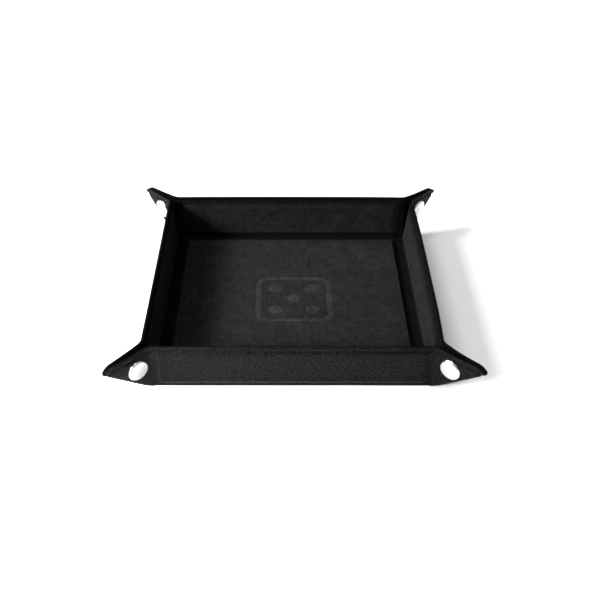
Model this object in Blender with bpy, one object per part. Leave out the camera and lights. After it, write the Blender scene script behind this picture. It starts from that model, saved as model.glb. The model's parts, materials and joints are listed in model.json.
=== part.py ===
"""A folding dice tray: one square sheet of cover and lining with a board in its base and in each wall.

The sheet is laid out flat and then folded up along its creases. The floor of the tray is level with +Z up,
the origin is in the middle of the underside, and the front wall faces -Y. At each corner the sheet folds into
an ear of two halves that a snap fastener holds together. Units are metres.
"""

from math import acos, atan2, cos, pi, radians, sin, sqrt

import bmesh
import bpy

# Driving dimensions
SHEET_SIDE = 0.254
WALL_HEIGHT = 0.0348
WALL_FOLD = radians(84.2)
SHEET_CORNER_RADIUS = 0.0085

COVER_THICKNESS = 0.0008
LINING_THICKNESS = 0.0008
LAYER_GAP = 0.0003

BASE_BOARD_SIDE = 0.1640
BASE_BOARD_THICKNESS = 0.0025
WALL_BOARD_LENGTH = 0.1740
WALL_BOARD_WIDTH = 0.0256
WALL_BOARD_THICKNESS = 0.0015
WALL_BOARD_FROM_CREASE = 0.0049
BOARD_CORNER_RADIUS = 0.0012
RAISED_CORNER_RADIUS = 0.0025

BASE_CREASE_TRIM = 0.0003
WALL_END_TRIM = 0.0009
EAR_CREASE_TRIM = 0.0010
EAR_DIAGONAL_TRIM = 0.0005

SNAP_ALONG_DIAGONAL = 0.0250
SNAP_FROM_DIAGONAL = 0.0080
CAP_RADIUS = 0.0075
CAP_EDGE = 0.0006
CAP_RISE = 0.0013
CAP_UNDERCUT = 0.0004
POST_RADIUS = 0.0014
POST_HOLE_RADIUS = 0.0018
RECESS_RADIUS = 0.0053
SOCKET_RADIUS = 0.0050
SOCKET_BORE_RADIUS = 0.0036
SOCKET_LIP_RADIUS = 0.0045
SOCKET_FLOOR = 0.0004
SOCKET_PROUD = 0.0002
STUD_FLANGE_RADIUS = 0.0048
STUD_FLANGE_TOP = -0.0002
STUD_NECK_RADIUS = 0.0023
STUD_NECK_TOP = 0.0005
STUD_BULB_RADIUS = 0.0027
STUD_BULB_TOP = 0.0018

ROUND_STEPS = 24
DOME_STEPS = 5
CORNER_STEPS = 5
SMOOTH_ANGLE = radians(40)
WELD_DISTANCE = 1e-6
AXIS_DISPLAY_SIZE = 0.01

# Heights in the flat sheet, measured from the lining's surface, which is where every crease turns
SHEET_THICKNESS = COVER_THICKNESS + LAYER_GAP + LINING_THICKNESS
COVER_BOTTOM = -SHEET_THICKNESS
COVER_TOP = COVER_BOTTOM + COVER_THICKNESS
BOARD_BOTTOM = COVER_TOP + LAYER_GAP
LINING_BOTTOM = -LINING_THICKNESS
LINING_MIDDLE = LINING_BOTTOM / 2

CREASE = SHEET_SIDE / 2 - WALL_HEIGHT  # from the middle of the base to the crease of a wall
SIDES = ("front", "right", "back", "left")  # in turn, anticlockwise seen from above
SOCKET_SIDES = ("front", "back")


def ear_fold_angle(wall_fold):
    """The fold between a wall and its ear half when the wall is folded up by wall_fold.

    Five creases meet at each corner of the base: two wall creases, two ear creases and the diagonal. Both
    neighbouring walls fold alike, so the diagonal stays in the corner's plane of symmetry, at 45 degrees to
    each ear crease. That gives sqrt(2) sin(ear) sin(wall) + cos(ear) cos(wall) = 1 for the square corner.
    """
    across, along = sqrt(2) * sin(wall_fold), cos(wall_fold)
    size = sqrt(across**2 + along**2)
    return atan2(across, along) - acos(1 / size)


EAR_FOLD = ear_fold_angle(WALL_FOLD)


# Outlines, as lists of points in the plane of the flat sheet


def arc(centre, radius, start, end, steps=CORNER_STEPS):
    angles = [start + (end - start) * i / steps for i in range(steps + 1)]
    return [(centre[0] + radius * cos(a), centre[1] + radius * sin(a)) for a in angles]


def circle(centre, radius):
    return arc(centre, radius, 0, 2 * pi, ROUND_STEPS)[:-1]


def rounded_rectangle(width, height, radius, middle=(0, 0)):
    x, y = width / 2 - radius, height / 2 - radius
    corners = ((x, y), (-x, y), (-x, -y), (x, -y))
    points = []
    for quarter, (cx, cy) in enumerate(corners):
        centre = (middle[0] + cx, middle[1] + cy)
        points += arc(centre, radius, quarter * pi / 2, (quarter + 1) * pi / 2)
    return points


def rectangle(x0, y0, x1, y1):
    return [(x0, y0), (x1, y0), (x1, y1), (x0, y1)]


def ear_outline():
    """The half of a corner square that belongs to a wall, seen from the lining, for the ear at its -x end.

    The origin is the corner of the base, the wall's edge is x = 0, and the rim is y = -WALL_HEIGHT.
    """
    slope = EAR_DIAGONAL_TRIM * sqrt(2)
    middle = (SHEET_CORNER_RADIUS - WALL_HEIGHT, SHEET_CORNER_RADIUS - WALL_HEIGHT)
    meets_diagonal = -pi / 4 - acos(EAR_DIAGONAL_TRIM / SHEET_CORNER_RADIUS)
    rounded = arc(middle, SHEET_CORNER_RADIUS, -pi / 2, meets_diagonal)
    return [(-EAR_CREASE_TRIM, -EAR_CREASE_TRIM - slope), (-EAR_CREASE_TRIM, -WALL_HEIGHT)] + rounded


def snap_centre():
    """The middle of the snap fastener in the plane of ear_outline."""
    along, away = SNAP_ALONG_DIAGONAL / sqrt(2), SNAP_FROM_DIAGONAL / sqrt(2)
    return (-along + away, -along - away)


def mirrored(points):
    return [(-x, y) for x, y in points]


# Meshes


def new_mesh(name, bm):
    bmesh.ops.recalc_face_normals(bm, faces=bm.faces)
    mesh = bpy.data.meshes.new(name)
    bm.to_mesh(mesh)
    bm.free()
    return mesh


def plate(name, outline, bottom, top, holes=()):
    """A flat plate between two heights, with holes right through it."""
    bm = bmesh.new()
    for ring in (outline, *holes):
        verts = [bm.verts.new((x, y, bottom)) for x, y in ring]
        for i, vert in enumerate(verts):
            bm.edges.new((vert, verts[i - 1]))
    bmesh.ops.triangle_fill(bm, edges=bm.edges[:], use_beauty=True)
    made = bmesh.ops.extrude_face_region(bm, geom=bm.faces[:])["geom"]
    raised = [item for item in made if isinstance(item, bmesh.types.BMVert)]
    bmesh.ops.translate(bm, verts=raised, vec=(0, 0, top - bottom))
    return new_mesh(name, bm)


def combined(mesh, *steps):
    """A mesh after Boolean steps, each a pair of an operation and another mesh."""
    body = bpy.data.objects.new("body", mesh)
    bpy.context.collection.objects.link(body)
    others = []
    for operation, other in steps:
        helper = bpy.data.objects.new("helper", other)
        helper.hide_render = True
        helper.display_type = "WIRE"
        bpy.context.collection.objects.link(helper)
        others.append(helper)
        modifier = body.modifiers.new(operation.lower(), "BOOLEAN")
        modifier.operation = operation
        modifier.solver = "EXACT"
        modifier.object = helper
    graph = bpy.context.evaluated_depsgraph_get()
    result = bpy.data.meshes.new_from_object(body.evaluated_get(graph))
    result.name = mesh.name
    for obj in (body, *others):
        bpy.data.objects.remove(obj)
    return result


def raised_lining(name, outline, board, board_top):
    """A sheet of lining raised over a board: board(margin, radius) gives the board's outline grown by margin."""
    pocket_top = board_top + LAYER_GAP
    wrap = board(LAYER_GAP + LINING_THICKNESS, RAISED_CORNER_RADIUS)
    pocket = board(LAYER_GAP, BOARD_CORNER_RADIUS)
    below = LINING_BOTTOM - LINING_THICKNESS
    return combined(
        plate(name, outline, LINING_BOTTOM, 0),
        ("UNION", plate("over_board", wrap, LINING_MIDDLE, pocket_top + LINING_THICKNESS)),
        ("DIFFERENCE", plate("pocket", pocket, below, pocket_top)),
    )


def turned(name, profile):
    """A solid of revolution about Z from (radius, height) points that start and end on the axis."""
    bm = bmesh.new()
    verts = [bm.verts.new((radius, 0, height)) for radius, height in profile]
    edges = [bm.edges.new(pair) for pair in zip(verts, verts[1:])]
    axis = {"cent": (0, 0, 0), "axis": (0, 0, 1)}
    bmesh.ops.spin(bm, geom=verts + edges, **axis, angle=2 * pi, steps=ROUND_STEPS, use_merge=True)
    bmesh.ops.remove_doubles(bm, verts=bm.verts, dist=WELD_DISTANCE)
    mesh = new_mesh(name, bm)
    mesh.shade_smooth()
    mesh.set_sharp_from_angle(angle=SMOOTH_ANGLE)
    return mesh


def dome(radius, foot, rise):
    """Points of a flattened dome from its top in the middle down to its rim."""
    angles = [pi / 2 * i / DOME_STEPS for i in range(DOME_STEPS + 1)]
    return [(radius * sin(a), foot + rise * cos(a)) for a in angles]


def cap_profile():
    """The cap lies on the cover and faces -Z; its post runs up through both layers."""
    seat = COVER_BOTTOM - LAYER_GAP
    crown = [(radius, seat - height) for radius, height in dome(CAP_RADIUS, CAP_EDGE, CAP_RISE)]
    post_end = COVER_TOP - LAYER_GAP / 2
    back = [(CAP_RADIUS - CAP_UNDERCUT, seat), (POST_RADIUS, seat)]
    return crown + back + [(POST_RADIUS, post_end), (0, post_end)]


def socket_profile():
    """A cup in the lining's recess, open towards the other ear half."""
    floor = BOARD_BOTTOM + SOCKET_FLOOR
    return [
        (0, BOARD_BOTTOM),
        (SOCKET_RADIUS, BOARD_BOTTOM),
        (SOCKET_RADIUS, 0),
        (SOCKET_LIP_RADIUS, SOCKET_PROUD),
        (SOCKET_BORE_RADIUS, 0),
        (SOCKET_BORE_RADIUS, floor),
        (0, floor),
    ]


def stud_profile():
    """A flange in the lining's recess with the bulb that the socket grips."""
    bulb_middle = (STUD_NECK_TOP + STUD_BULB_TOP) / 2
    bulb = dome(STUD_BULB_RADIUS, bulb_middle, STUD_BULB_TOP - bulb_middle)
    return bulb + [
        (STUD_NECK_RADIUS, STUD_NECK_TOP),
        (STUD_NECK_RADIUS, STUD_FLANGE_TOP),
        (STUD_FLANGE_RADIUS, STUD_FLANGE_TOP),
        (STUD_FLANGE_RADIUS, BOARD_BOTTOM),
        (0, BOARD_BOTTOM),
    ]


# Materials


def material(name, colour, roughness, metallic=0.0):
    made = bpy.data.materials.new(name)
    made.use_nodes = True
    shader = made.node_tree.nodes["Principled BSDF"]
    shader.inputs["Base Color"].default_value = (*colour, 1)
    shader.inputs["Roughness"].default_value = roughness
    shader.inputs["Metallic"].default_value = metallic
    made.diffuse_color = (*colour, 1)
    return made


# Assembly


def empty(name, parent=None, location=(0, 0, 0), rotation=(0, 0, 0)):
    made = bpy.data.objects.new(name, None)
    made.parent = parent
    made.location = location
    made.rotation_euler = rotation
    made.empty_display_size = AXIS_DISPLAY_SIZE
    bpy.context.collection.objects.link(made)
    return made


def piece(name, mesh, finish, parent, location=(0, 0, 0)):
    made = bpy.data.objects.new(name, mesh)
    made.parent = parent
    made.location = location
    if not mesh.materials:
        mesh.materials.append(finish)
    bpy.context.collection.objects.link(made)


def base_board_outline(margin=0, radius=BOARD_CORNER_RADIUS):
    side = BASE_BOARD_SIDE + 2 * margin
    return rounded_rectangle(side, side, radius)


def wall_board_outline(margin=0, radius=BOARD_CORNER_RADIUS):
    middle = (0, -WALL_BOARD_FROM_CREASE - WALL_BOARD_WIDTH / 2)
    return rounded_rectangle(WALL_BOARD_LENGTH + 2 * margin, WALL_BOARD_WIDTH + 2 * margin, radius, middle)


def make_base(finishes):
    half = CREASE - BASE_CREASE_TRIM
    outline = rectangle(-half, -half, half, half)
    board_top = BOARD_BOTTOM + BASE_BOARD_THICKNESS
    floor = empty("base", location=(0, 0, SHEET_THICKNESS))
    cover = plate("base_cover", outline, COVER_BOTTOM, COVER_TOP)
    board = plate("base_board", base_board_outline(), BOARD_BOTTOM, board_top)
    lining = raised_lining("base_lining", outline, base_board_outline, board_top)
    piece("base_cover", cover, finishes["cover"], floor)
    piece("base_board", board, finishes["board"], floor)
    piece("base_lining", lining, finishes["lining"], floor)
    return floor


def wall_meshes():
    end = CREASE - WALL_END_TRIM
    outline = rectangle(-end, -WALL_HEIGHT, end, -BASE_CREASE_TRIM)
    board_top = BOARD_BOTTOM + WALL_BOARD_THICKNESS
    return {
        "cover": plate("wall_cover", outline, COVER_BOTTOM, COVER_TOP),
        "board": plate("wall_board", wall_board_outline(), BOARD_BOTTOM, board_top),
        "lining": raised_lining("wall_lining", outline, wall_board_outline, board_top),
    }


def ear_meshes(hand):
    """The two layers of an ear half, for the wall's -x end (hand "low") or its +x end (hand "high")."""
    turn = mirrored if hand == "high" else list
    outline, centre = turn(ear_outline()), turn([snap_centre()])[0]
    post_hole, recess = circle(centre, POST_HOLE_RADIUS), circle(centre, RECESS_RADIUS)
    return {
        "centre": (*centre, 0),
        "cover": plate(f"ear_cover_{hand}", outline, COVER_BOTTOM, COVER_TOP, [post_hole]),
        "lining": plate(f"ear_lining_{hand}", outline, LINING_BOTTOM, 0, [recess]),
    }


def make_ear(prefix, side, meshes, snaps, finishes, hinge):
    half = "socket" if side in SOCKET_SIDES else "stud"
    centre = meshes["centre"]
    piece(f"{prefix}_ear_cover", meshes["cover"], finishes["cover"], hinge)
    piece(f"{prefix}_ear_lining", meshes["lining"], finishes["lining"], hinge)
    piece(f"{prefix}_snap_cap", snaps["cap"], finishes["snap"], hinge, centre)
    piece(f"{prefix}_snap_{half}", snaps[half], finishes["snap"], hinge, centre)


def main():
    for obj in list(bpy.data.objects):
        bpy.data.objects.remove(obj)

    finishes = {
        "cover": material("black_faux_leather", (0.030, 0.030, 0.032), 0.45),
        "lining": material("black_velvet", (0.018, 0.018, 0.020), 0.95),
        "board": material("grey_board", (0.30, 0.26, 0.21), 0.90),
        "snap": material("nickel_plate", (0.82, 0.81, 0.78), 0.20, 1.0),
    }
    snaps = {
        "cap": turned("snap_cap", cap_profile()),
        "socket": turned("snap_socket", socket_profile()),
        "stud": turned("snap_stud", stud_profile()),
    }
    walls = wall_meshes()
    ears = {hand: ear_meshes(hand) for hand in ("low", "high")}

    floor = make_base(finishes)
    for turn, side in enumerate(SIDES):
        quarter = empty(f"{side}_side", floor, rotation=(0, 0, turn * pi / 2))
        hinge = empty(f"{side}_wall", quarter, (0, -CREASE, 0), (-WALL_FOLD, 0, 0))
        for layer, mesh in walls.items():
            piece(f"{side}_wall_{layer}", mesh, finishes[layer], hinge)
        before, after = SIDES[turn - 1], SIDES[(turn + 1) % len(SIDES)]
        for hand, way, neighbour in (("low", -1, before), ("high", 1, after)):
            prefix = f"{side}_wall_{neighbour}"
            ear = empty(f"{prefix}_ear", hinge, (way * CREASE, 0, 0), (0, way * EAR_FOLD, 0))
            make_ear(prefix, side, ears[hand], snaps, finishes, ear)


main()
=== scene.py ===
"""The looks of the folding dice tray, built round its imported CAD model.

The tray is one square sheet of two layers, cover and lining, folded along straight creases. Every point of
the sheet has flat coordinates: x along a wall's crease, d up the sheet from that crease, and z off the
lining's plane, towards the inside of the tray. Beyond a wall's end, e is the distance past the ear crease.
The functions under "Folding" turn flat coordinates into places on the folded tray, with a rounded bend at
each crease, so that each piece is drawn flat, with its relief, and then folded. Units are metres.
"""

import json
from math import cos, pi, radians, sin, sqrt, tan

import bmesh
import bpy
import numpy as np
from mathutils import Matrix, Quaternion, Vector


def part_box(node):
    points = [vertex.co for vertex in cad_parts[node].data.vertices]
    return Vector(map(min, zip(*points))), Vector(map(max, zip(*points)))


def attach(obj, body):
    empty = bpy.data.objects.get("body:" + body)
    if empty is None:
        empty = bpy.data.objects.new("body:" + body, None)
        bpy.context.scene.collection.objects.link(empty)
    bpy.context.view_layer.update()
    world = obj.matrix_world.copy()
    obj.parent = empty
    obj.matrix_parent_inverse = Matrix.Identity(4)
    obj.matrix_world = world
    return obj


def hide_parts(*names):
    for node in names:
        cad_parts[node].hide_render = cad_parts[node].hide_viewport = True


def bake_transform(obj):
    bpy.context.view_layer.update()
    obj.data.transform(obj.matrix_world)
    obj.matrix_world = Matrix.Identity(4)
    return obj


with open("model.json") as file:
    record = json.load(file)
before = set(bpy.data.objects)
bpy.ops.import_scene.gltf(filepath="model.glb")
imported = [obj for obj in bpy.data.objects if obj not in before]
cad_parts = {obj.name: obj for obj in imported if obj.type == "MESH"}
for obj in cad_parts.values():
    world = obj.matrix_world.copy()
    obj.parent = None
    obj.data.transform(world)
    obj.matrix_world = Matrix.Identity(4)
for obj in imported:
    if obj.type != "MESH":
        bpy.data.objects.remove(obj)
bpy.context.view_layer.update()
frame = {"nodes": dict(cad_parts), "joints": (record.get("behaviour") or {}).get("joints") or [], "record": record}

MM = 0.001

# Bends: half the length of sheet that a crease's round takes up. A margin is how far the piece that holds
# the bend reaches, as a multiple of that.
WALL_BEND = {"cover": 1.0 * MM, "lining": 2.4 * MM}
WALL_MARGIN = 1.3
EAR_BEND = 3.5 * MM
EAR_BEND_LOW = 0.7 * MM
EAR_BEND_RISE = 1.2 * MM
EAR_MARGIN = 1.15
EAR_BLEND = 2.4 * MM
SHEET_CORNER_RADIUS = 8.5 * MM

# Layers
LAYER_THICKNESS = 0.90 * MM
RIM_ROUND = {"cover": 0.42 * MM, "lining": 0.40 * MM}
RIM_BAND = 5.2 * MM
BOARD_LONG_SLOPE = {"cover": (-0.2 * MM, 3.0 * MM), "lining": (-0.3 * MM, 0.9 * MM)}
BOARD_END_SLOPE = {"cover": (-1.4 * MM, 1.0 * MM), "lining": (-6.0 * MM, 3.0 * MM)}
BOARD_TOP_SLOPE = {"cover": (-1.5 * MM, 1.5 * MM), "lining": (-3.0 * MM, 0.8 * MM)}
BOARD_EDGE_SHARE = 0.08
BOARD_GRID = (80, 24)
COVER_RIDGE = 0.85 * MM
FOOT_BEFORE = 1.0 * MM
FOOT_AFTER = 1.2 * MM
WRAP = 1.1 * MM  # the lining's raised part reaches past a board by a gap and its own thickness
PAD_SLOPE = (-1.0 * MM, 0.4 * MM)
RAISED_CORNER = 2.5 * MM
PAD_UNEVENNESS = 0.07 * MM
PAD_WAVES = (17.1 * MM, 20.3 * MM, 11.4 * MM)

# Stitching
STITCHES_PER_WALL = 47
STITCHES_PER_EAR = 9
STITCH_INSET = 3.2 * MM
STITCH_GROOVE = 0.85 * MM
STITCH_GROOVE_WIDTH = 0.75 * MM
STITCH_HOLE_SHARE = 0.88
THREAD_RADIUS = 0.26 * MM
THREAD_RISE = 0.30 * MM
THREAD_SINK = 0.22 * MM
THREAD_SHARE = 0.80
THREAD_SIDES = 8
THREAD_STEPS = 8

# Snap fasteners
CAP_EDGE = 1.5 * MM
CAP_CROWN = 0.45 * MM
CAP_SEAT_DIMPLE = 0.28 * MM
CAP_SEAT_REACH = 9.5 * MM
SNAP_BACK = -0.75 * MM
RECESS_DEPTH = 0.60 * MM
RECESS_REACH = 5.6 * MM
TURN_STEPS = 72

# A die's face pressed into the pad
MARK_SIDE = 56.5 * MM
MARK_CORNER = 9 * MM
MARK_LINE = 4.0 * MM
MARK_PIP = 5.2 * MM
MARK_PIP_OFFSET = 13.5 * MM
MARK_DEPTH = 0.45 * MM
MARK_SLOPE = 0.40 * MM
MARK_PLACE = (1.5 * MM, 1.5 * MM)
MARK_GRID = 0.4 * MM

# How far each wall stands out of its plane in its middle, and its skew towards the wall's +x end
BOW = {
    "front": (0.4 * MM, 0.0),
    "right": (1.2 * MM, 0.0),
    "back": (0.8 * MM, -0.3),
    "left": (-0.1 * MM, 0.0),
}

# How the ear at each corner lies: its tip's reach along the fold, and its drop. A corner is named after the
# wall whose left end is there.
CORNER_LIE = {
    "front": (0.6 * MM, 0.7 * MM),
    "right": (5.2 * MM, 0.8 * MM),
    "back": (1.6 * MM, 0.5 * MM),
    "left": (1.8 * MM, 0.3 * MM),
}
SNAP_SLIDE = {"front": -2.8 * MM, "right": 0.0, "back": 0.0, "left": 0.0}  # along the fold, from the base
DROP_END = 1 / 2.2  # shares of the way out along the ear, or along the fold
SAG_START = 1 / 7
SAG_END = 1 / 2
SAG_LOSS = 0.85
FOLD_DROP = 0.6 * MM
FOLD_DROP_WIDTH = 5.0 * MM

# Meshes: steps round each bend, round the sheet's corner, round the diagonal fold and under the base's
# corner, and rows between the base's corner and the rim band, which grow apart by a power
WALL_BEND_STEPS = 12
EAR_BEND_STEPS = 10
CORNER_STEPS = 6
FOLD_STEPS = 6
CORNER_ROWS = 6
FAN_ROWS = 22
FAN_GROWTH = 1.5
MERGE = 0.5e-6
SHARP = radians(38)

# The frame
SIDES = ("front", "right", "back", "left")  # each a quarter turn on from the last, anticlockwise from above
SOCKET_SIDES = ("front", "back")
joints = {joint["name"]: joint for joint in frame["joints"]}
ratios = {item["joint"]: item["ratio"] for item in frame["record"]["behaviour"]["couplings"]}
wall_hinge = joints["front_wall_fold"]
CREASE = -wall_hinge["pos_m"][1]
PLANE = wall_hinge["pos_m"][2]
WALL_FOLD = radians(wall_hinge["range_deg"][1])
EAR_FOLD = WALL_FOLD * ratios["front_wall_left_ear_fold"]


# Flat layout, read from the CAD nodes


def vertices(node):
    return np.array([v.co for v in frame["nodes"][node].data.vertices], float)


def wall_flat(points):
    """(x, d, z) of points of the front wall."""
    out, up = -points[:, 1] - CREASE, points[:, 2] - PLANE
    along = out * cos(WALL_FOLD) + up * sin(WALL_FOLD)
    off = up * cos(WALL_FOLD) - out * sin(WALL_FOLD)
    return np.stack([points[:, 0], along, off], axis=1)


def ear_flat(points):
    """(e, d, z) of points of the ear at the front wall's left end."""
    x, d, off = wall_flat(points).T
    past = -CREASE - x
    e = past * cos(EAR_FOLD) - off * sin(EAR_FOLD)
    z = past * sin(EAR_FOLD) + off * cos(EAR_FOLD)
    return np.stack([e, d, z], axis=1)


def extent(points):
    return points.min(axis=0), points.max(axis=0)


wall_low, wall_high = extent(wall_flat(vertices("front_wall_cover")))
board_low, board_high = extent(wall_flat(vertices("front_wall_board")))
lining_high = extent(wall_flat(vertices("front_wall_lining")))[1]
cap_low, cap_high = extent(ear_flat(vertices("front_wall_left_snap_cap")))
base_board_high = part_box("base_board")[1]
pad_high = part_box("base_lining")[1]

HEIGHT = wall_high[1]
COVER_FACE = wall_low[2]
WALL_LIFT = lining_high[2]
PAD_LIFT = pad_high.z - PLANE
BOARD_HALF_LENGTH = board_high[0]
BOARD_HALF_WIDTH = (board_high[1] - board_low[1]) / 2
BOARD_MIDDLE = (board_high[1] + board_low[1]) / 2
PAD_HALF = base_board_high.x + WRAP
FACE = {"cover": COVER_FACE, "lining": 0.0}
OUTWARD = {"cover": -1.0, "lining": 1.0}  # which way a layer's visible face looks, along z
SNAP = (cap_low + cap_high)[:2] / 2
CAP_RADIUS = (cap_high[0] - cap_low[0]) / 2
CAP_HEIGHT = COVER_FACE - cap_low[2]

WALL_END = CREASE - EAR_MARGIN * EAR_BEND
FAN_TOP = HEIGHT - RIM_BAND
CORNER_START = HEIGHT - SHEET_CORNER_RADIUS
STITCH_TURN = SHEET_CORNER_RADIUS - STITCH_INSET
EAR_PATH_END = CREASE + CORNER_START + STITCH_TURN * pi / 4
WALL_PITCH = 2 * WALL_END / STITCHES_PER_WALL
EAR_PITCH = (EAR_PATH_END - WALL_END) / STITCHES_PER_EAR
PAD_EDGE = {layer: CREASE - bend * WALL_MARGIN for layer, bend in WALL_BEND.items()}


# Folding


def ear_bend(d):
    """Half the length of the ear crease's bend at height d: nothing at its foot, widest at the rim."""
    share = np.clip(d / FAN_TOP, 0, 1)
    return EAR_BEND * share + EAR_BEND_LOW * (1 - share) * (1 - np.exp(-d / EAR_BEND_RISE))


def edge_bend(layer, x):
    """Half the length of the wall crease's bend, which closes up towards the corner of the base."""
    return np.minimum(WALL_BEND[layer] * WALL_MARGIN, CREASE - np.abs(x)) / WALL_MARGIN


def bow(side, x, d):
    amount, skew = BOW[side]
    share = np.clip(x / WALL_END, -1, 1)
    return amount * (1 - share**4) * (1 + skew * share) * (np.clip(d, 0, None) / HEIGHT) ** 1.5


def raised(x, d, z):
    """A point of the front wall's plane, or z off it."""
    out = d * cos(WALL_FOLD) - z * sin(WALL_FOLD)
    up = d * sin(WALL_FOLD) + z * cos(WALL_FOLD)
    return np.stack(np.broadcast_arrays(x, -(CREASE + out), PLANE + up), axis=-1)


def raised_bend(layer, x, u, z):
    """A point of the wall crease's bend, where u runs from -1 to 1, or of the base's field before it."""
    half = edge_bend(layer, x)
    radius = half / tan(WALL_FOLD / 2)
    angle = WALL_FOLD * np.clip((u + 1) / 2, 0, 1)
    out = -half + (radius - z) * np.sin(angle) + half * np.minimum(u + 1, 0)
    up = radius - (radius - z) * np.cos(angle)
    return np.stack(np.broadcast_arrays(x, -(CREASE + out), PLANE + up), axis=-1)


def ear_point(u, e, d, z):
    """A point of the ear at the front wall's left end. Where u is 1 or less it lies in the crease's bend."""
    half = ear_bend(d)
    radius = half / tan(EAR_FOLD / 2)
    angle = EAR_FOLD * np.clip((u + 1) / 2, 0, 1)
    bent_past = -half + (radius + z) * np.sin(angle) + half * np.minimum(u + 1, 0)
    bent_off = -radius + (radius + z) * np.cos(angle)
    past = np.where(u <= 1, bent_past, e * cos(EAR_FOLD) + z * sin(EAR_FOLD))
    off = np.where(u <= 1, bent_off, z * cos(EAR_FOLD) - e * sin(EAR_FOLD))
    return raised(-(CREASE + past), d, off)


def unit(vector):
    return vector / np.maximum(np.linalg.norm(vector, axis=-1, keepdims=True), 1e-12)


CORNER = np.array([-CREASE, -CREASE, PLANE])
DIAGONAL = unit(ear_point(2, HEIGHT, HEIGHT, 0) - CORNER)
EAR_NORMAL = unit(ear_point(2, HEIGHT, HEIGHT, HEIGHT) - ear_point(2, HEIGHT, HEIGHT, 0))
DOWN = np.array([0.0, 0.0, -1.0])
SYMMETRY = unit(DOWN - DIAGONAL * (DIAGONAL @ DOWN))  # square to the diagonal, in the plane of symmetry
FOLD_LENGTH = HEIGHT * sqrt(2) - SHEET_CORNER_RADIUS * (sqrt(2) - 1)


def smooth(value):
    """0 up to 0, 1 from 1, smooth between."""
    t = np.clip(value, 0, 1)
    return t * t * (3 - 2 * t)


def settled(points, e, d, corner):
    """Ear points moved to how the named corner's ear really lies. Nothing moves at the ear's crease."""
    reach, drop = CORNER_LIE[corner]
    along = np.clip((e + d) / sqrt(2) / FOLD_LENGTH, 0, 1)
    past = np.clip(e / HEIGHT, 0, 1)
    near_fold = np.exp(-(((d - e) / sqrt(2) / FOLD_DROP_WIDTH) ** 2))
    sag = smooth(along / SAG_START) * (1 - SAG_LOSS * smooth(along / SAG_END))
    lower = drop * smooth(past / DROP_END) + FOLD_DROP * near_fold * sag
    further = reach * past**2
    moved = points + (further[..., None] * DIAGONAL + lower[..., None] * SYMMETRY)
    return np.concatenate([moved[..., :2], np.maximum(moved[..., 2:], 0.0)], axis=-1)


def corner_name(turns, way):
    """A corner is named after the wall whose left end is there."""
    return SIDES[turns % 4] if way < 0 else SIDES[(turns + 1) % 4]


def turned_between(start, end, share):
    """Unit vectors a share of the way round from start to end."""
    angle = np.arccos(np.clip(np.sum(start * end, axis=-1, keepdims=True), -1, 1))
    return unit(np.sin((1 - share) * angle) * start + np.sin(share * angle) * end + 1e-15)


# Relief


def fade(value, start, end):
    """1 before start, 0 after end, smooth between."""
    return 1 - smooth((value - start) / (end - start))


def rounded_box(x, y, half_x, half_y, radius):
    """Distance from a rounded rectangle's outline, below 0 inside it."""
    px, py = np.abs(x) - half_x + radius, np.abs(y) - half_y + radius
    outside = np.hypot(np.maximum(px, 0), np.maximum(py, 0))
    return outside + np.minimum(np.maximum(px, py), 0) - radius


def board_lift(layer, x, d):
    """How far a wall's board raises a layer, with a slope along its foot, at its ends and along its top."""
    foot = fade(BOARD_MIDDLE - BOARD_HALF_WIDTH - d, *BOARD_LONG_SLOPE[layer])
    ends = fade(np.abs(x) - BOARD_HALF_LENGTH, *BOARD_END_SLOPE[layer])
    top = fade(d - BOARD_MIDDLE - BOARD_HALF_WIDTH, *BOARD_TOP_SLOPE[layer])
    height = COVER_RIDGE if layer == "cover" else WALL_LIFT
    return height * foot * ends * top


def stitch_groove(inset, along, pitch):
    across = np.exp(-(((inset - STITCH_INSET) / STITCH_GROOVE_WIDTH) ** 2))
    holes = 0.5 + 0.5 * np.cos(2 * pi * (along - WALL_END) / pitch)
    return STITCH_GROOVE * across * (1 - STITCH_HOLE_SHARE + STITCH_HOLE_SHARE * holes)


def rim_drop(layer, inset):
    """How far a face drops in the quarter round at the rim."""
    reach = np.clip(1 - inset / RIM_ROUND[layer], 0, 1)
    return RIM_ROUND[layer] * (1 - np.sqrt(1 - reach**2))


def snap_place(corner):
    return SNAP + SNAP_SLIDE[corner] / sqrt(2)


def snap_dent(layer, e, d, corner):
    middle = snap_place(corner)
    away = np.hypot(e - middle[0], d - middle[1])
    if layer == "cover":
        return CAP_SEAT_DIMPLE * fade(away, CAP_RADIUS * 0.8, CAP_SEAT_REACH)
    return RECESS_DEPTH * fade(away, RECESS_REACH * 0.9, RECESS_REACH * 1.15)


def faces_of(layer, lift, sunk, inset):
    """(visible face, hidden face) of a layer, as heights in the flat sheet."""
    rim = rim_drop(layer, inset)
    shown = FACE[layer] + OUTWARD[layer] * (lift - sunk - rim)
    hidden = FACE[layer] + OUTWARD[layer] * (lift - LAYER_THICKNESS + rim / 5)
    return shown, hidden


# Building meshes


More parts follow.
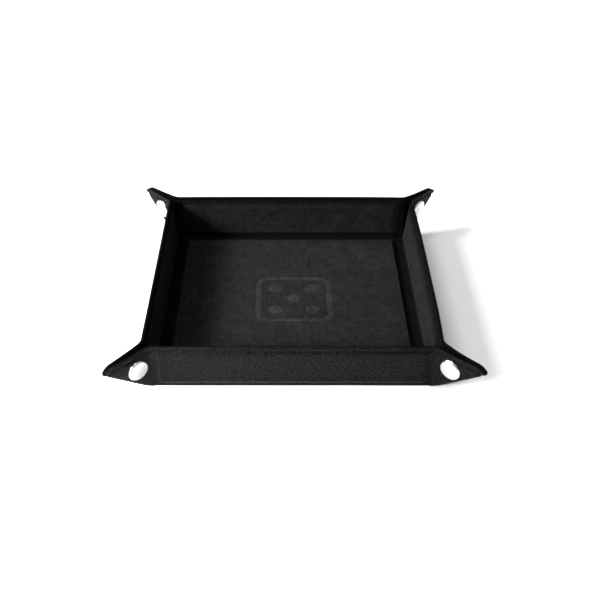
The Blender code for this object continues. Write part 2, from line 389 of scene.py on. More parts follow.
def mesh_object(name, points, faces, flat=None, stretch=None):
    """A mesh from points and faces, with double points merged.

    flat places each point on the sheet's UV map. stretch is how far a board raises and stretches the layer there,
    from 0 to 1, and 2 where it is pressed smooth. The velvet paints shade where it is low.
    """
    mesh = bpy.data.meshes.new(name)
    mesh.from_pydata(points.tolist(), [], faces)
    if stretch is not None:
        attribute = mesh.attributes.new("stretch", "FLOAT", "POINT")
        attribute.data.foreach_set("value", stretch.astype(np.float32).ravel())
    if flat is not None:
        attribute = mesh.attributes.new("flat", "FLOAT2", "POINT")
        attribute.data.foreach_set("vector", flat.astype(np.float32).ravel())
    bm = bmesh.new()
    bm.from_mesh(mesh)
    bmesh.ops.remove_doubles(bm, verts=bm.verts, dist=MERGE)
    bmesh.ops.recalc_face_normals(bm, faces=bm.faces)
    bm.to_mesh(mesh)
    bm.free()
    if flat is not None:
        lay_flat(mesh)
    mesh.shade_smooth()
    mesh.set_sharp_from_angle(angle=SHARP)
    made = bpy.data.objects.new(name, mesh)
    bpy.context.scene.collection.objects.link(made)
    return made


def lay_flat(mesh):
    """Turns the point attribute flat into the UV map sheet."""
    places = np.empty(len(mesh.vertices) * 2, np.float32)
    mesh.attributes["flat"].data.foreach_get("vector", places)
    corners = np.empty(len(mesh.loops), np.int32)
    mesh.loops.foreach_get("vertex_index", corners)
    layer = mesh.uv_layers.new(name="sheet")
    layer.data.foreach_set("uv", places.reshape(-1, 2)[corners].ravel())
    mesh.attributes.remove(mesh.attributes["flat"])


def shell(name, shown, hidden, flat, stretch=None):
    """A closed sheet: two grids of points that a strip joins along all four borders."""
    rows, columns = shown.shape[:2]
    count = rows * columns
    index = np.arange(count).reshape(rows, columns)
    a, b, c, d = index[:-1, :-1], index[:-1, 1:], index[1:, 1:], index[1:, :-1]
    front = np.stack([a, b, c, d], axis=-1).reshape(-1, 4)
    loop = np.concatenate([index[0, :-1], index[:-1, -1], index[-1, :0:-1], index[:0:-1, 0]])
    following = np.roll(loop, -1)
    strip = np.stack([following, loop, loop + count, following + count], axis=-1)
    faces = np.concatenate([front, front[:, ::-1] + count, strip]).tolist()
    points = np.concatenate([shown.reshape(-1, 3), hidden.reshape(-1, 3)])
    stretch = None if stretch is None else np.tile(stretch.ravel(), 2)
    return mesh_object(name, points, faces, np.tile(flat.reshape(-1, 2), (2, 1)), stretch)


def quarter_turn(points, turns):
    """Points turned from the front side to another side."""
    for _ in range(turns):
        points = np.concatenate([-points[..., 1:2], points[..., 0:1], points[..., 2:]], axis=-1)
    return points


def across(points, way):
    """Points of the left end, or mirrored to the right end where way is 1."""
    return points if way < 0 else points * np.array([-1.0, 1.0, 1.0])[: points.shape[-1]]


def on_sheet(x, d, turns):
    """Places on the UV map, where the whole sheet fills the unit square."""
    flat = np.stack(np.broadcast_arrays(x, -(CREASE + d)), axis=-1)
    return quarter_turn(flat, turns) / (2 * (CREASE + HEIGHT)) + 0.5


def steps(*stops):
    """Values from the first stop to the last: each later stop is (value, spacing on the way to it)."""
    values = [stops[0]]
    for value, spacing in stops[1:]:
        count = max(1, round(abs(value - values[-1]) / spacing))
        values += np.linspace(values[-1], value, count + 1)[1:].tolist()
    return np.array(values)


def both_ways(values):
    """Values from 0 up, with their mirror image below 0."""
    return np.unique(np.concatenate([-values, values]))


def band_insets(layer):
    """Distances from the rim, from the rim band's inner side outwards, close together where it turns."""
    radius = RIM_ROUND[layer]
    turn = [radius * (1 - sin(step * pi / 10)) for step in range(5)]
    inner = steps(RIM_BAND, (STITCH_INSET - 1.6 * MM, 0.3 * MM), (radius * 1.3, 0.45 * MM))
    return np.concatenate([inner, turn, [0.0]])


# The sheet's pieces


def base_cover():
    lines = both_ways(steps(0.0, (PAD_EDGE["cover"], 6 * MM)))
    x, y = np.meshgrid(lines, lines)
    shown = np.stack([x, y, np.full_like(x, PLANE + COVER_FACE)], axis=-1)
    hidden = shown + [0, 0, LAYER_THICKNESS]
    return shell("base_cover_sheet", shown, hidden, on_sheet(x, -y - CREASE, 0))


def mark_depth(x, y):
    """The die's face: a rounded outline and five pips."""
    x, y = x - MARK_PLACE[0], y - MARK_PLACE[1]
    half = MARK_SIDE / 2
    outline = np.abs(rounded_box(x, y, half, half, MARK_CORNER) + MARK_LINE / 2) - MARK_LINE / 2
    centre = np.hypot(x, y)
    corners = np.hypot(np.abs(x) - MARK_PIP_OFFSET, np.abs(y) - MARK_PIP_OFFSET)
    pips = np.minimum(centre, corners) - MARK_PIP
    return fade(np.minimum(outline, pips), -MARK_SLOPE, MARK_SLOPE)


def base_lining():
    mark_reach = MARK_SIDE / 2 + max(MARK_PLACE) + MM
    top = PAD_HALF + PAD_SLOPE[0]
    foot = PAD_HALF + PAD_SLOPE[1]
    inner = ((mark_reach, MARK_GRID), (top - MM, 3.2 * MM))
    outer = ((foot + 0.3 * MM, 0.3 * MM), (PAD_EDGE["lining"], 1.5 * MM))
    lines = both_ways(steps(0.0, *inner, *outer))
    x, y = np.meshgrid(lines, lines)
    edge = rounded_box(x, y, PAD_HALF, PAD_HALF, RAISED_CORNER)
    lifted_share = fade(edge, *PAD_SLOPE)
    wave_x, wave_y, wave_across = PAD_WAVES
    uneven = np.sin(x / wave_x + 0.6) * np.sin(y / wave_y + 1.9) + np.sin((x + y) / wave_across) / 2
    lift = lifted_share * (PAD_LIFT + PAD_UNEVENNESS * uneven)
    pressed = mark_depth(x, y)
    shown = np.stack([x, y, PLANE + lift - MARK_DEPTH * pressed], axis=-1)
    hidden = np.stack([x, y, PLANE + lift - LAYER_THICKNESS], axis=-1)
    # The pad's lift share goes to the velvet as stretch, which paints shade in the low strip between the pad and
    # the walls.
    return shell("base_lining_sheet", shown, hidden, on_sheet(x, -y - CREASE, 0), lifted_share + pressed)


def wall_columns():
    """Places along a wall from -1 to 1, four to a stitch and closer together at the ends."""
    ends = steps(WALL_END - 3.2 * MM, (CREASE, 0.4 * MM))
    middle = both_ways(np.arange(0.5, STITCHES_PER_WALL * 2 + 1) * WALL_PITCH / 4)
    middle = middle[np.abs(middle) < ends[0] - 0.2 * MM] / WALL_END
    return np.concatenate([-ends[::-1] / CREASE, middle, ends / CREASE])


def wall_sheet(side, turns, layer):
    """A wall's field of one layer, with the bend at its crease."""
    share = wall_columns()
    u = np.concatenate([[-WALL_MARGIN], np.linspace(-1, 1, WALL_BEND_STEPS + 1)])
    bend = WALL_BEND[layer]
    foot = ((board_low[1] - FOOT_BEFORE, 0.7 * MM), (board_low[1] + FOOT_AFTER, 0.3 * MM))
    field = steps(bend, *foot, (FAN_TOP, 2.6 * MM))
    insets = band_insets(layer)

    x_bend = np.broadcast_to(share * CREASE, (len(u), len(share)))
    start = edge_bend(layer, share * CREASE)
    rise = ((field[1:-1] - bend) / (FAN_TOP - bend))[:, None]
    d_field = start + rise * (FAN_TOP - start)
    d_band = np.broadcast_to((HEIGHT - insets)[:, None], (len(insets), len(share)))
    d_upper = np.concatenate([d_field, d_band])
    x_upper = share * (CREASE - EAR_MARGIN * ear_bend(d_upper))

    d_bend = u[:, None] * edge_bend(layer, x_bend)
    x = np.concatenate([x_bend, x_upper])
    d = np.concatenate([d_bend, d_upper])
    sunk = stitch_groove(HEIGHT - d, x, WALL_PITCH)
    heights = faces_of(layer, board_lift(layer, x, d), sunk, HEIGHT - d)
    grids = []
    for z in heights:
        lower = raised_bend(layer, x_bend, u[:, None], z[: len(u)])
        upper = raised(x_upper, d_upper, z[len(u) :] - bow(side, x_upper, d_upper))
        grids.append(quarter_turn(np.concatenate([lower, upper]), turns))
    # The board's lift goes to the velvet as stretch, which paints shade where the lining lies off the board: at
    # the crease, past the board's ends and in the rim band.
    stretch = board_lift("lining", x, d) / WALL_LIFT
    made = shell(f"{side}_wall_{layer}_sheet", *grids, on_sheet(x, d, turns), stretch)
    middle_height = FACE[layer] - OUTWARD[layer] * LAYER_THICKNESS / 2
    start, end = (quarter_turn(raised_bend(layer, 0.0, u, middle_height), turns) for u in (-1, 1))
    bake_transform(made)
    return made


def ear_grid(layer):
    """Flat coordinates over half an ear: u in the crease's bend, e, d, inset from the rim, stitching path.

    Rows run from the corner of the base out to the rim, columns from the ear's crease to the diagonal.
    """
    u = np.concatenate([[-EAR_MARGIN], np.linspace(-1, 1, EAR_BEND_STEPS + 1)])
    straight = steps(EAR_BEND, (CORNER_START, EAR_PITCH / 4))[1:]
    angles = np.linspace(0, pi / 4, CORNER_STEPS + 1)[1:]
    round_outward = np.stack([np.sin(angles), np.cos(angles)], axis=1)
    outward = np.concatenate([np.tile([0.0, 1.0], (len(straight), 1)), round_outward])
    round_part = CORNER_START + (SHEET_CORNER_RADIUS - RIM_BAND) * round_outward
    inner = np.concatenate([np.stack([straight, np.full_like(straight, FAN_TOP)], axis=1), round_part])
    stitch_path = np.concatenate([straight, CORNER_START + STITCH_TURN * angles]) + CREASE

    share = np.linspace(0, 1, FAN_ROWS + 1)[:-1, None] ** FAN_GROWTH
    insets = band_insets(layer)[:, None]
    rows = len(share) + len(insets)
    d_bend = np.concatenate([share * FAN_TOP, HEIGHT - insets]) * np.ones(len(u))
    e_bend = u * ear_bend(d_bend)
    keep = 1 - np.linspace(0, 1, len(inner) + 1)[1:]
    fan_d = share * inner[:, 1]
    fan_e = share * inner[:, 0] + keep * (ear_bend(fan_d) - share * EAR_BEND)
    band = inner + (RIM_BAND - insets)[..., None] * outward

    e = np.concatenate([e_bend, np.concatenate([fan_e, band[..., 0]])], axis=1)
    d = np.concatenate([d_bend, np.concatenate([fan_d, band[..., 1]])], axis=1)
    us = np.concatenate([np.tile(u, (rows, 1)), np.full((rows, len(inner)), 2.0)], axis=1)
    inset_rows = np.concatenate([np.full_like(share, HEIGHT), insets])
    inset = np.where(inset_rows < RIM_BAND, inset_rows, HEIGHT) * np.ones(e.shape[1])
    path = np.concatenate([CREASE + e_bend, np.tile(stitch_path, (rows, 1))], axis=1)
    return us, e, d, inset, path


def ear_sheet(side, neighbour, turns, way, layer):
    """Half of a corner's ear, from the bend at its crease to the diagonal."""
    corner = corner_name(turns, way)
    u, e, d, inset, path = ear_grid(layer)
    last_e, last_d = e[:, -1:], d[:, -1:]
    sunk = stitch_groove(inset, path, EAR_PITCH) + snap_dent(layer, e, d, corner)
    grids = []
    for z in faces_of(layer, 0.0, sunk, inset):
        points = settled(ear_point(u, e, d, z), e, d, corner)
        folded = settled(fold_round(e[:, -1], d[:, -1], z[:, -1]), last_e, last_d, corner)
        points = np.concatenate([points, folded], axis=1)
        if layer == "cover":
            points = np.concatenate([corner_cap(points[0]), points])
        grids.append(quarter_turn(across(points, way), turns))
    flat_x = np.concatenate([-(CREASE + e), np.tile(-(CREASE + last_e), (1, FOLD_STEPS))], axis=1)
    flat_d = np.concatenate([d, np.tile(last_d, (1, FOLD_STEPS))], axis=1)
    if layer == "cover":
        flat_x = np.concatenate([np.tile(flat_x[:1], (CORNER_ROWS, 1)), flat_x])
        flat_d = np.concatenate([np.tile(flat_d[:1], (CORNER_ROWS, 1)), flat_d])
    name = f"{side}_wall_{neighbour}_ear_{layer}_sheet"
    made = shell(name, *grids, on_sheet(flat_x * -way, flat_d, turns))
    blend_ear(made, turns, way, FACE[layer] - OUTWARD[layer] * LAYER_THICKNESS / 2)
    return made


def fold_round(e, d, z):
    """Columns that carry a face on round the diagonal to the corner's plane of symmetry."""
    along = CORNER + DIAGONAL * ((e + d) / sqrt(2))[:, None]
    share = np.linspace(0, 1, FOLD_STEPS + 1)[1:]
    turned = turned_between(-EAR_NORMAL, SYMMETRY, share[:, None])
    return along[:, None, :] - turned[None, :, :] * z[:, None, None]


def corner_cap(row):
    """Rows that close the cover under the corner of the base, from straight down to the ear's first row."""
    offset = row - CORNER
    depth = np.linalg.norm(offset, axis=-1).max()
    share = np.linspace(0, 1, CORNER_ROWS + 1)[:-1, None, None]
    return CORNER + turned_between(DOWN, unit(offset)[None], share) * depth


def blend_ear(made, turns, way, height):
    middle = HEIGHT / 2
    start = ear_point(-1.5, 0, middle, height)
    start[0] = -CREASE + EAR_BLEND
    end = ear_point(2, EAR_BLEND, middle, height)
    start, end = (quarter_turn(across(point, way), turns) for point in (start, end))
    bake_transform(made)


# Thread


def wall_path(side, layer):
    """A function of (distance along the stitching, height off the layer's visible face)."""
    def place(along, rise):
        d = HEIGHT - STITCH_INSET
        sunk = stitch_groove(STITCH_INSET, along, WALL_PITCH)
        shown, _ = faces_of(layer, board_lift(layer, along, d), sunk, STITCH_INSET)
        return raised(along, d, shown + OUTWARD[layer] * rise - bow(side, along, d))
    return place


def ear_path(layer, corner):
    def place(along, rise):
        turn = np.clip((along - CREASE - CORNER_START) / STITCH_TURN, 0, pi / 4)
        e = np.minimum(along - CREASE, CORNER_START) + STITCH_TURN * np.sin(turn)
        d = CORNER_START + STITCH_TURN * np.cos(turn)
        sunk = stitch_groove(STITCH_INSET, along, EAR_PITCH)
        shown, _ = faces_of(layer, 0.0, sunk, STITCH_INSET)
        return settled(ear_point(e / ear_bend(d), e, d, shown + OUTWARD[layer] * rise), e, d, corner)
    return place


def thread(paths):
    """Stitches along several paths, each (place, where its first stitch starts, pitch, how many).

    A stitch is a tube that rises out of one hole and sinks into the next, thinner at its ends.
    """
    points, faces = [], []
    t = np.linspace(0, 1, THREAD_STEPS + 1)
    arch = np.sin(pi * t) ** 0.6
    rise = (THREAD_RISE + THREAD_SINK) * arch - THREAD_SINK
    radius = THREAD_RADIUS * (1 - 0.45 * (2 * t - 1) ** 6)
    around = 2 * pi * np.arange(THREAD_SIDES) / THREAD_SIDES
    for place, start, pitch, count in paths:
        for stitch in range(count):
            along = start + (stitch + 0.5 + THREAD_SHARE * (t - 0.5)) * pitch
            centre = place(along, rise)
            ahead = unit(np.gradient(centre, axis=0))
            up = unit(place(along, rise + THREAD_RADIUS) - centre)
            aside = unit(np.cross(ahead, up))
            up = np.cross(aside, ahead)
            ring = np.cos(around)[:, None] * up[:, None] + np.sin(around)[:, None] * aside[:, None]
            first = sum(map(len, points))
            points.append((centre[:, None] + radius[:, None, None] * ring).reshape(-1, 3))
            faces += tube_faces(first, len(t), THREAD_SIDES)
    return np.concatenate(points), faces


def tube_faces(first, rings, sides):
    faces = [[first + side for side in range(sides)]]
    faces.append([first + (rings - 1) * sides + side for side in reversed(range(sides))])
    for ring in range(rings - 1):
        low = first + ring * sides
        for side in range(sides):
            after = (side + 1) % sides
            faces.append([low + side, low + sides + side, low + sides + after, low + after])
    return faces


def wall_thread(side, turns):
    paths = [(wall_path(side, layer), -WALL_END, WALL_PITCH, STITCHES_PER_WALL) for layer in FACE]
    points, faces = thread(paths)
    made = mesh_object(f"{side}_wall_thread", quarter_turn(points, turns), faces)
    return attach(made, f"{side}_wall")


def ear_thread(side, neighbour, turns, way):
    corner = corner_name(turns, way)
    paths = [(ear_path(layer, corner), WALL_END, EAR_PITCH, STITCHES_PER_EAR) for layer in FACE]
    points, faces = thread(paths)
    points = quarter_turn(across(points, way), turns)
    made = mesh_object(f"{side}_wall_{neighbour}_ear_thread", points, faces)
    blend_ear(made, turns, way, COVER_FACE / 2)
    return made


# Boards


def wall_board(side, turns):
    """A board whose ends and top are thinned to an edge, so that they don't show through the lining."""
    lines = [np.linspace(board_low[axis], board_high[axis], BOARD_GRID[axis]) for axis in (0, 1)]
    x, d = np.meshgrid(*lines)
    thinned = board_lift("lining", x, d) / WALL_LIFT
    share = BOARD_EDGE_SHARE + (1 - BOARD_EDGE_SHARE) * thinned
    top = board_low[2] + (board_high[2] - board_low[2]) * share
    grids = [raised(x, d, z - bow(side, x, d)) for z in (top, board_low[2])]
    grids = [quarter_turn(grid, turns) for grid in grids]
    made = shell(f"{side}_wall_board_strip", *grids, on_sheet(x, d, turns))
    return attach(made, f"{side}_wall")


# Snap fasteners


def arc_points(centre, radii, start, end, count):
    """Points of an elliptic arc, with its angles in radians from +height towards +radius."""
    angles = [start + (end - start) * step / count for step in range(count + 1)]
    return [(centre[0] + radii[0] * sin(a), centre[1] + radii[1] * cos(a)) for a in angles]


def cap_profile():
    """From the middle of the dome to its back, with heights towards the lining."""
    shoulder = CAP_RADIUS - CAP_EDGE
    seat = COVER_FACE + CAP_SEAT_DIMPLE
    crown = [(shoulder * step / 10, CAP_HEIGHT - CAP_CROWN * (step / 10) ** 2) for step in range(10)]
    rolled = arc_points((shoulder, 0.0), (CAP_EDGE, CAP_HEIGHT - CAP_CROWN), 0.0, pi / 2, 12)
    return [(r, COVER_FACE - h) for r, h in crown + rolled] + [(CAP_RADIUS - 0.4 * MM, seat), (0, seat)]


def socket_profile():
    """From the middle of the socket's back, round its rolled ring, to the middle of its floor."""
    floor, lip = -0.45 * MM, 0.22 * MM
    outer = arc_points((4.55 * MM, lip - 0.35 * MM), (0.45 * MM, 0.35 * MM), 1.6, 0, 6)
    inner = arc_points((4.15 * MM, lip - 0.5 * MM), (-0.5 * MM, 0.5 * MM), 0, 1.6, 6)
    back = [(0, SNAP_BACK), (4.9 * MM, SNAP_BACK)]
    return back + outer + inner + [(3.55 * MM, floor), (1.3 * MM, floor), (0, floor)]


def stud_profile():
    """From the top of the stud's bulb, over its neck and flange, to the middle of its back."""
    flange, rim = -0.25 * MM, 4.8 * MM
    bulb = arc_points((0, 1.15 * MM), (2.7 * MM, 0.62 * MM), 0, 2.2, 14)
    neck = [(2.15 * MM, 0.5 * MM), (2.3 * MM, flange)]
    edge = [(4.5 * MM, flange), (rim, flange - 0.15 * MM), (rim, SNAP_BACK), (0, SNAP_BACK)]
    return bulb + neck + edge


def turned(name, profile, place):
    """A solid of revolution about Z, then moved by the function place."""
    rings = [(radius, height) for radius, height in profile if radius > MERGE]
    angles = 2 * pi * np.arange(TURN_STEPS) / TURN_STEPS
    circle = np.stack([np.cos(angles), np.sin(angles)], axis=1)
    points = [np.insert(circle * radius, 2, height, axis=1) for radius, height in rings]
    points += [np.array([[0, 0, profile[0][1]], [0, 0, profile[-1][1]]])]
    points = np.concatenate(points)
    first, last = len(points) - 2, len(points) - 1
    final = (len(rings) - 1) * TURN_STEPS
    faces = []
    for step in range(TURN_STEPS):
        after = (step + 1) % TURN_STEPS
        faces.append([first, step, after])
        faces.append([last, final + after, final + step])
        for ring in range(len(rings) - 1):
            low = ring * TURN_STEPS
            faces.append([low + step, low + TURN_STEPS + step, low + TURN_STEPS + after, low + after])
    return mesh_object(name, place(points), faces)


def snap(side, neighbour, turns, way):
    corner = corner_name(turns, way)
    centre = snap_place(corner)
    middle = ear_point(2, *centre, 0.0)
    moved = settled(middle, *centre, corner) - middle

    def place(points):
        e, d = centre[0] + points[:, 0], centre[1] + points[:, 1]
        return quarter_turn(across(ear_point(2, e, d, points[:, 2]) + moved, way), turns)
    prefix = f"{side}_wall_{neighbour}_snap"
    half, profile = ("socket", socket_profile()) if side in SOCKET_SIDES else ("stud", stud_profile())
    for kind, outline in (("cap", cap_profile()), (half, profile)):
        piece = turned(f"{prefix}_{kind}_turned", outline, place)
        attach(piece, f"{side}_wall_{neighbour}_ear")
        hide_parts(f"{prefix}_{kind}")
        finish_with(piece, "snap")


# Materials


def new_material(name):
    made = bpy.data.materials.new(name)
    made.use_nodes = True
    tree = made.node_tree
    return made, tree, tree.nodes["Principled BSDF"]


def add(tree, kind, settings=None, **inputs):
    """A new node. Inputs are named with _ for a space, or i0, i1 for the input at that place."""
    made = tree.nodes.new(kind)
    for key, value in (settings or {}).items():
        setattr(made, key, value)
    for name, value in inputs.items():
        socket = made.inputs[int(name[1:])] if name[1:].isdigit() else made.inputs[name.replace("_", " ")]
        if isinstance(value, bpy.types.NodeSocket):
            tree.links.new(value, socket)
        else:
            socket.default_value = value
    return made


def link(tree, shader, **inputs):
    for name, value in inputs.items():
        tree.links.new(value, shader.inputs[name.replace("_", " ")])


def rescaled(tree, where, scale):
    return add(tree, "ShaderNodeMapping", Vector=where, Scale=scale).outputs["Vector"]


def sheet_millimetres(tree):
    """Coordinates on the flat sheet, in millimetres, so that grain and pile follow every fold."""
    side = 2 * (CREASE + HEIGHT) / MM
    where = add(tree, "ShaderNodeUVMap", {"uv_map": "sheet"})
    return rescaled(tree, where.outputs["UV"], (side, side, side))


def object_millimetres(tree):
    where = add(tree, "ShaderNodeTexCoord").outputs["Object"]
    return rescaled(tree, where, (1 / MM, 1 / MM, 1 / MM))


def noise(tree, where, scale, detail=3.0, roughness=0.5, distortion=0.0):
    made = add(tree, "ShaderNodeTexNoise", Vector=where, Scale=scale, Detail=detail, Roughness=roughness)
    made.inputs["Distortion"].default_value = distortion
    return made.outputs["Fac"]


def spread(tree, value, low, high, new_low=0.0, new_high=1.0):
    limits = {"From_Min": low, "From_Max": high, "To_Min": new_low, "To_Max": new_high}
    return add(tree, "ShaderNodeMapRange", Value=value, **limits).outputs["Result"]


def maths(tree, operation, first, second):
    return add(tree, "ShaderNodeMath", {"operation": operation}, i0=first, i1=second).outputs[0]


def mixed(tree, share, first, second):
    made = add(tree, "ShaderNodeMix", {"data_type": "RGBA"}, Factor=share)
    made.inputs[6].default_value = (*first, 1)
    made.inputs[7].default_value = (*second, 1)
    return made.outputs[2]


def bumped(tree, height, distance, strength=1.0, normal=None):
    made = add(tree, "ShaderNodeBump", Height=height, Distance=distance, Strength=strength)
    if normal is not None:
        tree.links.new(normal, made.inputs["Normal"])
    return made.outputs["Normal"]


def leather():
    """Black faux leather: small rounded cells between fine wrinkles, duller in the hollows."""
    made, tree, shader = new_material("black_faux_leather")
    where = sheet_millimetres(tree)
    wander = add(tree, "ShaderNodeTexNoise", Vector=where, Scale=0.7, Detail=2.0).outputs["Color"]
    by_wander = {"i0": wander, "i1": (0.9, 0.9, 0.9), "i2": where}
    moved = add(tree, "ShaderNodeVectorMath", {"operation": "MULTIPLY_ADD"}, **by_wander).outputs[0]
    cells = add(tree, "ShaderNodeTexVoronoi", {"feature": "DISTANCE_TO_EDGE"}, Vector=moved, Scale=1.15)
    pores = spread(tree, cells.outputs["Distance"], 0.0, 0.16)
    fine = noise(tree, where, 5.0, 4.0, 0.6)
    wrinkle = noise(tree, where, 0.22, 4.0, 0.62, 0.8)
    patches = noise(tree, where, 0.035, 3.0)
    pebbles = noise(tree, where, 0.55, 3.0, 0.6)
    height = maths(tree, "ADD", maths(tree, "MULTIPLY", pores, 0.6), maths(tree, "MULTIPLY", pebbles, 2.4))
    grain = maths(tree, "MULTIPLY", pores, spread(tree, pebbles, 0.35, 0.65, 0.15, 1.0))
    lightness = maths(tree, "MULTIPLY", grain, spread(tree, patches, 0.3, 0.7, 0.7, 1.0))
    colour = mixed(tree, lightness, (0.0005, 0.0005, 0.0005), (0.0070, 0.0068, 0.0067))
    gloss = spread(tree, lightness, 0.0, 0.8, 0.02, 0.10)
    dull = spread(tree, patches, 0.3, 0.7, 0.40, 0.50)
    rough = maths(tree, "ADD", dull, maths(tree, "MULTIPLY", fine, 0.10))
    soft = bumped(tree, wrinkle, 0.35 * MM, 0.5)
    grained = bumped(tree, height, 0.11 * MM, 0.6, soft)
    link(tree, shader, Base_Color=colour, Roughness=rough, Specular_IOR_Level=gloss, Normal=grained)
    return made


def streaks(tree, where, scale, lengthwise):
    """Noise drawn out along one of the sheet's edges."""
    stretch = (0.3, 1.0, 1.0) if lengthwise else (1.0, 0.3, 1.0)
    return noise(tree, rescaled(tree, where, stretch), scale, 3.0, 0.65)


def velvet():
    """Black short-pile velvet: brushed fibres, with painted shade that darkens it where it lies off the pad and
    boards, and lighter where pressed.
    """
    made, tree, shader = new_material("black_velvet")
    where = sheet_millimetres(tree)
    fibres = noise(tree, where, 4.0, 3.0, 0.7)
    brushed = maths(tree, "ADD", streaks(tree, where, 0.5, True), streaks(tree, where, 0.4, False))
    nap = noise(tree, where, 0.06, 4.0, 0.55, 0.6)
    # Painted shade: colour and sheen drop to 0.12 where stretch is low, in the channels beside the pad, at the
    # creases and off the boards.
    stretch = add(tree, "ShaderNodeAttribute", {"attribute_name": "stretch"}).outputs["Fac"]
    lifted_share = spread(tree, stretch, 0.0, 1.0, 0.12, 1.0)
    pressed = spread(tree, stretch, 1.0, 2.0, 0.0, 0.8)
    shading = spread(tree, nap, 0.3, 0.7, 0.75, 1.25)
    lightness = maths(tree, "MULTIPLY", maths(tree, "ADD", lifted_share, pressed), shading)
    pile = maths(tree, "MULTIPLY", spread(tree, brushed, 0.7, 1.3, 0.28, 1.05), lightness)
    light_share = maths(tree, "MULTIPLY", pile, 0.40)
    colour = mixed(tree, light_share, (0.0006, 0.0006, 0.0006), (0.0170, 0.0170, 0.0174))
    height = maths(tree, "ADD", fibres, maths(tree, "MULTIPLY", brushed, 1.6))
    link(tree, shader, Base_Color=colour, Normal=bumped(tree, height, 0.16 * MM, 0.7))
    link(tree, shader, Sheen_Weight=maths(tree, "MULTIPLY", pile, 0.03))
    shader.inputs["Roughness"].default_value = 0.85
    shader.inputs["Specular IOR Level"].default_value = 0.03
    shader.inputs["Sheen Roughness"].default_value = 0.45
    return made


def sewing_thread():
    """Black thread, with the slant of its twisted plies."""
    made, tree, shader = new_material("black_thread")
    where = object_millimetres(tree)
    slant = {"bands_direction": "DIAGONAL"}
    plies = add(tree, "ShaderNodeTexWave", slant, Vector=where, Scale=1.3, Distortion=0.6).outputs["Fac"]
    colour = mixed(tree, plies, (0.0015, 0.0015, 0.0015), (0.0060, 0.0060, 0.0060))
    link(tree, shader, Base_Color=colour, Normal=bumped(tree, plies, 0.06 * MM, 0.6))
    shader.inputs["Roughness"].default_value = 0.7
    shader.inputs["Specular IOR Level"].default_value = 0.08
    return made


def nickel():
    """Bright nickel plate, a little uneven and faintly scratched."""
    made, tree, shader = new_material("nickel_plate")
    where = object_millimetres(tree)
    cloud = noise(tree, where, 0.25, 3.0)
    scratch = noise(tree, rescaled(tree, where, (0.3, 6.0, 6.0)), 1.0, 4.0, 0.7)
    colour = mixed(tree, cloud, (0.80, 0.77, 0.71), (0.90, 0.88, 0.84))
    link(tree, shader, Base_Color=colour, Roughness=spread(tree, cloud, 0.3, 0.7, 0.16, 0.26))
    link(tree, shader, Normal=bumped(tree, scratch, 0.02 * MM, 0.25))
    shader.inputs["Metallic"].default_value = 1.0
    return made


def pressed_board():
    made, tree, shader = new_material("grey_board")
    where = object_millimetres(tree)
    fibre = noise(tree, where, 1.5, 5.0, 0.65)
    link(tree, shader, Base_Color=mixed(tree, fibre, (0.22, 0.19, 0.15), (0.37, 0.33, 0.27)))
    link(tree, shader, Normal=bumped(tree, fibre, 0.1 * MM, 0.5))
    shader.inputs["Roughness"].default_value = 0.9
    return made


MATERIALS = {
    "cover": leather(),
    "lining": velvet(),
    "thread": sewing_thread(),
    "snap": nickel(),
    "board": pressed_board(),
}


def finish_with(piece, slot):
    piece.data.materials.clear()
    piece.data.materials.append(MATERIALS[slot])


# Assembly


def build_base():
    for layer, made in (("cover", base_cover()), ("lining", base_lining())):
        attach(made, "base")
        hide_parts(f"base_{layer}")
        finish_with(made, layer)
    finish_with(frame["nodes"]["base_board"], "board")


def build_wall(side, turns):
    for layer in FACE:
        made = wall_sheet(side, turns, layer)
        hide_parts(f"{side}_wall_{layer}")
        finish_with(made, layer)
    board = wall_board(side, turns)
    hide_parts(f"{side}_wall_board")
    finish_with(board, "board")
    finish_with(wall_thread(side, turns), "thread")


def build_ear(side, neighbour, turns, way):
    for layer in FACE:
        made = ear_sheet(side, neighbour, turns, way, layer)
        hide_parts(f"{side}_wall_{neighbour}_ear_{layer}")
        finish_with(made, layer)
    finish_with(ear_thread(side, neighbour, turns, way), "thread")
    snap(side, neighbour, turns, way)


# Stage


CAMERA_DISTANCE = 0.6875
CAMERA_ELEVATION = radians(35.8)
CAMERA_AZIMUTH = radians(0.62)
CAMERA_LENS = 55.43
CAMERA_ROLL = radians(0.40)
CAMERA_SHIFT = (0.0146, 0.0069)
CAMERA_NEAR = 0.01

WORLD_STRENGTH = 0.36
LIGHTS = {
    "key": dict(azimuth=174, elevation=39, distance=2.0, size=0.6, strength=4.6),
    "top": dict(azimuth=180, elevation=72, distance=2.2, size=1.0, strength=1.7),
    "front_left": dict(
        azimuth=222,
        elevation=28,
        distance=0.9,
        size=0.3,
        strength=0.72,
        target=(-0.18, -0.12, 0.0),
        spread=23,
    ),
}
FLOOR_REACH = 3.0
FLOOR_GAP = 0.05 * MM


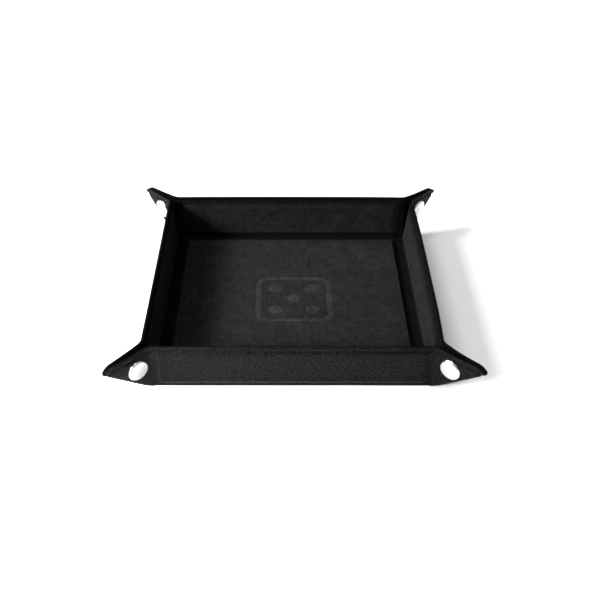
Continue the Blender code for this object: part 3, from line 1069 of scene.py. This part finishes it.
def camera():
    data = bpy.data.cameras.new("camera")
    data.lens = CAMERA_LENS
    data.clip_start = CAMERA_NEAR
    data.shift_x, data.shift_y = CAMERA_SHIFT
    made = bpy.data.objects.new("camera", data)
    level = cos(CAMERA_ELEVATION)
    back = Vector((-level * sin(CAMERA_AZIMUTH), -level * cos(CAMERA_AZIMUTH), sin(CAMERA_ELEVATION)))
    made.location = back * CAMERA_DISTANCE
    made.rotation_mode = "QUATERNION"
    made.rotation_quaternion = (-back).to_track_quat("-Z", "Y") @ Quaternion((0, 0, 1), CAMERA_ROLL)
    bpy.context.scene.collection.objects.link(made)
    bpy.context.scene.camera = made


def softbox(name, azimuth, elevation, distance, size, strength, target=(0, 0, 0), spread=180):
    """A square light. Azimuth is anticlockwise from +X, and angles are in degrees.

    strength is the light that reaches a square metre at the target, at the full spread of 180. The same
    strength in a narrower spread puts more light there.
    """
    data = bpy.data.lights.new(name, "AREA")
    data.shape = "SQUARE"
    data.size = size
    data.spread = radians(spread)
    data.energy = strength * pi * distance**2
    level = cos(radians(elevation))
    way = Vector((level * cos(radians(azimuth)), level * sin(radians(azimuth)), sin(radians(elevation))))
    made = bpy.data.objects.new(name, data)
    made.location = Vector(target) + way * distance
    made.rotation_mode = "QUATERNION"
    made.rotation_quaternion = (-way).to_track_quat("-Z", "Y")
    bpy.context.scene.collection.objects.link(made)


def studio():
    scene = bpy.context.scene
    scene.view_settings.view_transform = "Standard"
    world = bpy.data.worlds.new("studio")
    world.use_nodes = True
    background = world.node_tree.nodes["Background"]
    background.inputs["Color"].default_value = (1.0, 1.0, 1.0, 1)
    background.inputs["Strength"].default_value = WORLD_STRENGTH
    scene.world = world
    for name, values in LIGHTS.items():
        softbox(name, **values)


def build_floor():
    mesh = bpy.data.meshes.new("floor")
    corners = [(-1, -1), (1, -1), (1, 1), (-1, 1)]
    mesh.from_pydata([(x * FLOOR_REACH, y * FLOOR_REACH, -FLOOR_GAP) for x, y in corners], [], [range(4)])
    made = bpy.data.objects.new("floor", mesh)
    bpy.context.scene.collection.objects.link(made)
    material, _, shader = new_material("pale_floor")
    shader.inputs["Base Color"].default_value = (0.9, 0.9, 0.9, 1)
    shader.inputs["Roughness"].default_value = 0.9
    shader.inputs["Specular IOR Level"].default_value = 0.1
    mesh.materials.append(material)


build_base()
for turns, side in enumerate(SIDES):
    build_wall(side, turns)
    build_ear(side, SIDES[turns - 1], turns, -1)
    build_ear(side, SIDES[(turns + 1) % 4], turns, 1)
camera()
studio()
build_floor()
